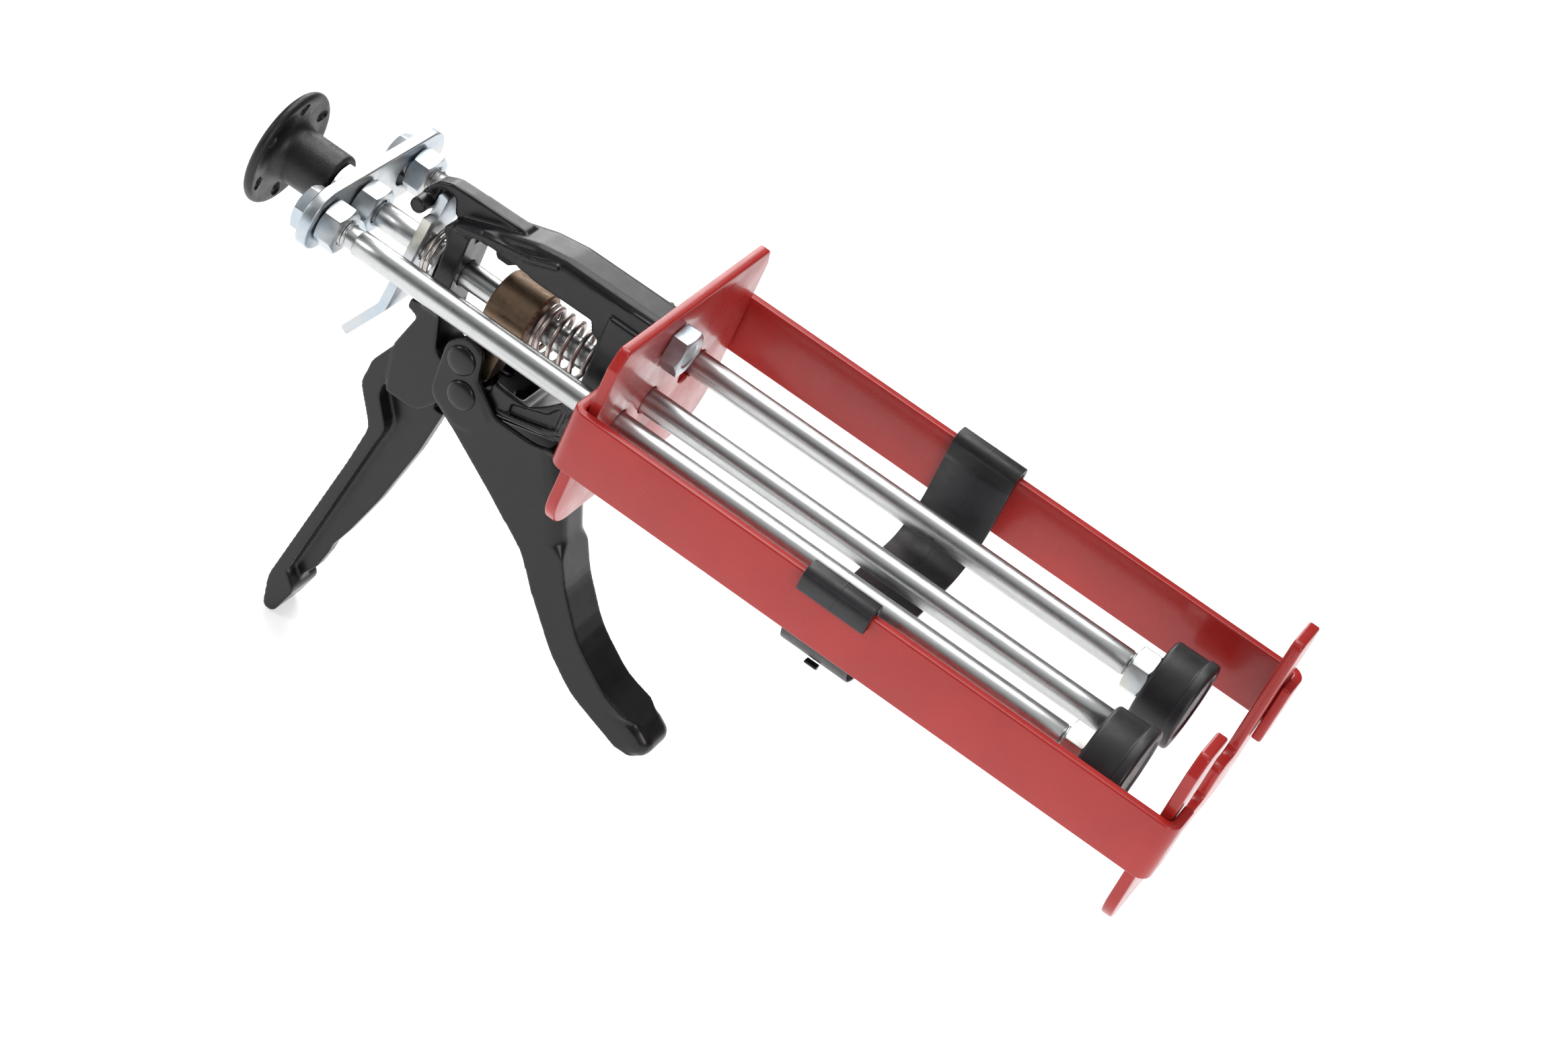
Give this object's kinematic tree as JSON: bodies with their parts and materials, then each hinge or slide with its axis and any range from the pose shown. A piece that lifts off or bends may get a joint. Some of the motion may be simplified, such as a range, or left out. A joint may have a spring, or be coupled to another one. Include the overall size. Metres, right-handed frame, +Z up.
{
  "type": "caulking gun",
  "caption": "Hand gun for two side-by-side cartridges: steel cradle, cast frame and trigger, drive rod with pull knob, and pistons on rods joined by a yoke.",
  "frame": {"origin": "on the rear plate's front face, at rod height, midway between the two rails of the cradle", "axes": "+X forward along the rods, +Y to the gun's left, +Z up"},
  "size_m": [0.3232, 0.1012, 0.1756],
  "materials": {
    "red_coat": "glossy red powder coat on steel",
    "black_coat": "satin black paint on cast and pressed metal",
    "black_plastic": "moulded black plastic",
    "zinc_plate": "bright zinc plate on steel",
    "bright_rod": "zinc-plated drawn steel rod",
    "bronze": "dull sintered bronze",
    "spring_steel": "bright spring wire"
  },
  "bodies": {
    "frame": {"cradle_strap": "red_coat", "rear_plate": "red_coat", "front_plate": "red_coat", "frame_casting": "black_coat", "upper_frame_bolt": "zinc_plate", "lower_frame_bolt": "zinc_plate", "return_spring": "spring_steel", "catch_spring": "spring_steel", "catch_spring_cup": "zinc_plate", "trigger_pivot_rivet": "black_coat"},
    "trigger": {"trigger": "black_coat", "drive_pin_rivet": "black_coat"},
    "dog": {"drive_dog": "bronze"},
    "catch": {"catch_plate": "zinc_plate"},
    "saddle": {"cartridge_saddle": "black_plastic"},
    "pusher": {"drive_rod": "bright_rod", "drive_rod_front_nut": "zinc_plate", "drive_rod_lock_nut": "zinc_plate", "left_piston": "black_plastic", "left_piston_nut": "zinc_plate", "left_rod": "bright_rod", "left_rod_front_nut": "zinc_plate", "left_rod_rear_nut": "zinc_plate", "pull_knob": "black_plastic", "right_piston": "black_plastic", "right_piston_nut": "zinc_plate", "right_rod": "bright_rod", "right_rod_front_nut": "zinc_plate", "right_rod_rear_nut": "zinc_plate", "yoke_plate": "zinc_plate"}
  },
  "joints": [
    {"name": "rod_slide", "type": "slide", "parent": "frame", "child": "pusher", "axis": [1, 0, 0], "range_m": [-0.15, 0.012]},
    {"name": "trigger_pivot", "type": "hinge", "parent": "frame", "child": "trigger", "pos_m": [-0.048, -0.0075, -0.0293], "axis": [0, 1, 0], "range_deg": [0, 40], "stiffness_Nm_per_rad": 0.4, "springref_deg": -28.65},
    {"name": "dog_slide", "type": "slide", "parent": "frame", "child": "dog", "axis": [1, 0, 0], "range_m": [0, 0.0078], "deforming": ["return_spring"]},
    {"name": "catch_hinge", "type": "hinge", "parent": "frame", "child": "catch", "pos_m": [-0.0777, -0.0075, 0.0204], "axis": [0, -1, 0], "range_deg": [0, 3], "stiffness_Nm_per_rad": 1, "springref_deg": -5.73, "deforming": ["catch_spring"]},
    {"name": "saddle_slide", "type": "slide", "parent": "frame", "child": "saddle", "axis": [1, 0, 0], "range_m": [-0.06, 0.08]}
  ],
  "couplings": [
    {"joint": "dog_slide", "follows": "trigger_pivot", "m_per_rad": 0.0108}
  ]
}
